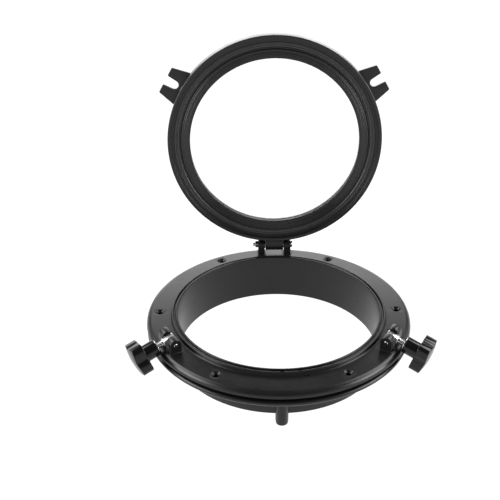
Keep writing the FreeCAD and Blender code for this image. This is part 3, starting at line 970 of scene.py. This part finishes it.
def build_swing_bolt(side):
    """Eye bolt: square-ended eye with softened edges, plain neck and a rolled thread."""
    profile = rounded(
        [
            (-EYE_HALF_DEPTH, -EYE_REACH, 1.2),
            (EYE_HALF_DEPTH, -EYE_REACH, 1.2),
            (EYE_HALF_DEPTH, EYE_LENGTH, 1.2),
            (-EYE_HALF_DEPTH, EYE_LENGTH, 1.2),
        ]
    )
    eye = moved(prism(profile, -EYE_HALF_WIDTH, EYE_HALF_WIDTH, 0.9), UPRIGHT)
    neck = lathe(
        [
            (0, 0, 0),
            (SHANK_RADIUS, 0, 0),
            (SHANK_RADIUS, THREAD_START + 0.4, 0),
            (0, THREAD_START + 0.4, 0),
        ],
        segments=56,
    )
    shank = combined(eye, [neck], "UNION")
    bore = moved(round_bar(LATCH_PIN_RADIUS + 0.05, -10, 10), UPRIGHT)
    shank = combined(shank, [bore], "DIFFERENCE")
    thread = threaded_bar(SHANK_RADIUS, THREAD_PITCH, THREAD_START, SHANK_END, 56)
    bolt = gathered([shank, thread])
    name = f"eye_bolt_{side}"
    piece(name, bolt, f"bolt_{side}", "stainless", bolt_place(side), [f"swing_bolt_{side}"])


def build_knob_washer(side):
    """Flat washer between the knob and the lid's ear."""
    high = WASHER_START + WASHER_THICKNESS
    washer = flat_washer(SHANK_RADIUS + 0.25, WASHER_RADIUS, WASHER_START, high, 0.2)
    name = f"plate_washer_{side}"
    piece(name, washer, f"washer_{side}", "stainless", bolt_place(side), [f"knob_washer_{side}"])


def build_knob_insert(side):
    """Brass bush with a broken edge, moulded in the hub."""
    inner = SHANK_RADIUS + 0.05
    high = HUB_START + INSERT_LENGTH
    bush = lathe(
        [
            (inner, HUB_START, 0.3),
            (INSERT_RADIUS, HUB_START, 0.2),
            (INSERT_RADIUS, high, 0.2),
            (inner, high, 0.2),
        ],
        segments=72,
        steps=3,
    )
    name = f"bush_{side}"
    piece(name, bush, f"knob_body_{side}", "brass", bolt_place(side), [f"knob_insert_{side}"])


def lobed_outline(inward=0.0, steps=14):
    """Outline with round lobes and hollow sides, moved inwards by a distance."""
    lobe_centre = HEAD_RADIUS - LOBE_RADIUS
    half_pitch = math.pi / LOBE_COUNT
    along = lobe_centre * math.cos(half_pitch)
    across = lobe_centre * math.sin(half_pitch)
    between = LOBE_RADIUS + VALLEY_RADIUS
    valley_centre = along + math.sqrt(between**2 - across**2)
    tilt = math.atan2(across, valley_centre - along)
    points = []
    for i in range(LOBE_COUNT):
        lobe = 2 * half_pitch * i
        valley = lobe + half_pitch
        half_crest = half_pitch - tilt
        for k in range(steps):
            turn = lobe - half_crest + 2 * half_crest * k / steps
            centre = Vector((math.cos(lobe), math.sin(lobe))) * lobe_centre
            out = Vector((math.cos(turn), math.sin(turn)))
            points.append(centre + out * (LOBE_RADIUS - inward))
        for k in range(steps):
            turn = valley + math.pi + tilt - 2 * tilt * k / steps
            centre = Vector((math.cos(valley), math.sin(valley))) * valley_centre
            out = Vector((math.cos(turn), math.sin(turn)))
            points.append(centre + out * (VALLEY_RADIUS + inward))
    return points


def knob_head(low, high):
    """Lobed head between two heights, with softened edges and a shallow dome."""
    dome_radius = (HEAD_RADIUS**2 + HEAD_DOME**2) / (2 * HEAD_DOME)

    def on_dome(points, drop=0.0):
        base = high - dome_radius - drop
        return [
            Vector((point.x, point.y, base + math.sqrt(dome_radius**2 - point.length_squared)))
            for point in points
        ]

    low_edge = 0.6
    top_edge = 0.5
    edge_steps = 5
    dome_rings = 12
    turns = [math.pi / 2 * k / edge_steps for k in range(edge_steps + 1)]
    loops = [[Vector((0, 0, low))]]
    for turn in turns:
        outline = lobed_outline(low_edge * (1 - math.sin(turn)))
        loops.append(at_height(outline, low + low_edge * (1 - math.cos(turn))))
    for turn in turns:
        outline = lobed_outline(top_edge * (1 - math.cos(turn)))
        loops.append(on_dome(outline, top_edge * (1 - math.sin(turn))))
    rim = lobed_outline(top_edge)
    for k in range(1, dome_rings):
        loops.append(on_dome([point * (1 - k / dome_rings) for point in rim]))
    loops.append([Vector((0, 0, high))])
    return skinned(loops)


def build_knob(side):
    """Lobed head on a round hub, hollow for the bush and the bolt."""
    head_start = HUB_START + HUB_LENGTH
    head = knob_head(head_start, head_start + HEAD_RIM + HEAD_DOME)
    moved(head, Matrix.Rotation(math.radians(KNOB_TURNS[side]), 4, "Z"))
    hub = lathe(
        [
            (0, HUB_START, 0),
            (HUB_RADIUS, HUB_START, 0.6),
            (HUB_RADIUS, head_start + 1, 0),
            (0, head_start + 1, 0),
        ],
        segments=96,
    )
    knob = combined(head, [hub], "UNION")
    insert_seat = round_bar(INSERT_RADIUS, HUB_START - 1, HUB_START + INSERT_LENGTH)
    bolt_room = round_bar(SHANK_RADIUS + 0.4, HUB_START - 1, SHANK_END + 2)
    knob = combined(knob, [insert_seat, bolt_room], "DIFFERENCE")
    name = f"hand_knob_{side}"
    piece(name, knob, f"knob_body_{side}", "knob_plastic", bolt_place(side), [f"knob_{side}"])


# ---- camera, floor and light --------------------------------------------------------------
def add_camera():
    """Camera above and in front of the open lid, tilted down at it and nearly level."""
    tilt, lean, pan = 61.1477, 0.6131, -0.3378
    data = bpy.data.cameras.new("camera")
    data.lens = 57.6
    data.sensor_width = 36
    data.clip_start = 0.01
    camera = bpy.data.objects.new("camera", data)
    camera.location = Vector((-27.16, -667.68, 442.82)) * MM
    camera.rotation_euler = [math.radians(angle) for angle in (tilt, lean, pan)]
    bpy.context.scene.collection.objects.link(camera)
    bpy.context.scene.camera = camera


def add_floor():
    """Pale floor just under the spout's end."""
    mesh = bmesh.new()
    bmesh.ops.create_grid(mesh, x_segments=8, y_segments=8, size=9)
    data = bpy.data.meshes.new("floor")
    shifted(mesh, z=cad_bounds[0][2] - 0.0005)
    mesh.to_mesh(data)
    mesh.free()
    data.materials.append(MATERIALS["floor"])
    floor = bpy.data.objects.new("floor", data)
    bpy.context.scene.collection.objects.link(floor)


def add_softbox(name, place, size, power):
    """Square area light that faces the object, with places and sizes in metres."""
    target = Vector((0, 0, 0.08))
    data = bpy.data.lights.new(name, "AREA")
    data.energy = power
    data.size = size
    light = bpy.data.objects.new(name, data)
    light.location = place
    light.rotation_euler = (target - light.location).to_track_quat("-Z", "Y").to_euler()
    bpy.context.scene.collection.objects.link(light)


def fade(tree, value, start, end, low, high):
    """Smooth change from low to high while a value goes from start to end."""
    inputs = {"Value": value, "From Min": start, "From Max": end, "To Min": low, "To Max": high}
    node = wired(tree, "ShaderNodeMapRange", inputs, interpolation_type="SMOOTHSTEP")
    return node.outputs["Result"]


def worked_out(tree, operation, *values):
    """Result of a sum on values and outputs."""
    node = wired(tree, "ShaderNodeMath", dict(enumerate(values)), operation=operation)
    return node.outputs["Value"]


def add_world():
    """Studio surroundings: dim overhead and in front, a bright low sweep behind the object."""
    world = bpy.data.worlds.new("studio")
    world.use_nodes = True
    tree = world.node_tree
    direction = wired(tree, "ShaderNodeTexCoord", {}).outputs["Generated"]
    across, ahead, height = wired(tree, "ShaderNodeSeparateXYZ", {0: direction}).outputs
    low_down = fade(tree, height, 0.46, 0.68, 1.0, 0.0)
    narrowed = worked_out(tree, "MULTIPLY_ADD", worked_out(tree, "ABSOLUTE", across), -2.0, ahead)
    behind = fade(tree, narrowed, -0.1, 0.5, 0.0, 1.0)
    sweep = worked_out(tree, "MULTIPLY", low_down, behind)
    haze = fade(tree, height, 0.1, 0.3, 1.0, 0.1)
    background = tree.nodes["Background"]
    background.inputs["Color"].default_value = (1, 1, 1, 1)
    level = worked_out(tree, "MULTIPLY_ADD", sweep, 2.8, haze)
    tree.links.new(level, background.inputs["Strength"])
    bpy.context.scene.world = world


add_camera()
add_floor()
add_world()
for side, across in (("left", -1), ("right", 1)):
    add_softbox(f"front_{side}", (1.1 * across, -0.3, 0.4), 0.7, 15)
    add_softbox(f"high_{side}", (0.9 * across, 0.35, 0.95), 0.8, 13)
bpy.context.scene.view_settings.view_transform = "Standard"

build_main_frame()
build_trim_ring()
build_lid()
build_glazing()
build_seal()
build_hinge_hardware()
for side in LATCH_STATIONS:
    build_latch_pin(side)
    build_swing_bolt(side)
    build_knob_washer(side)
    build_knob_insert(side)
    build_knob(side)
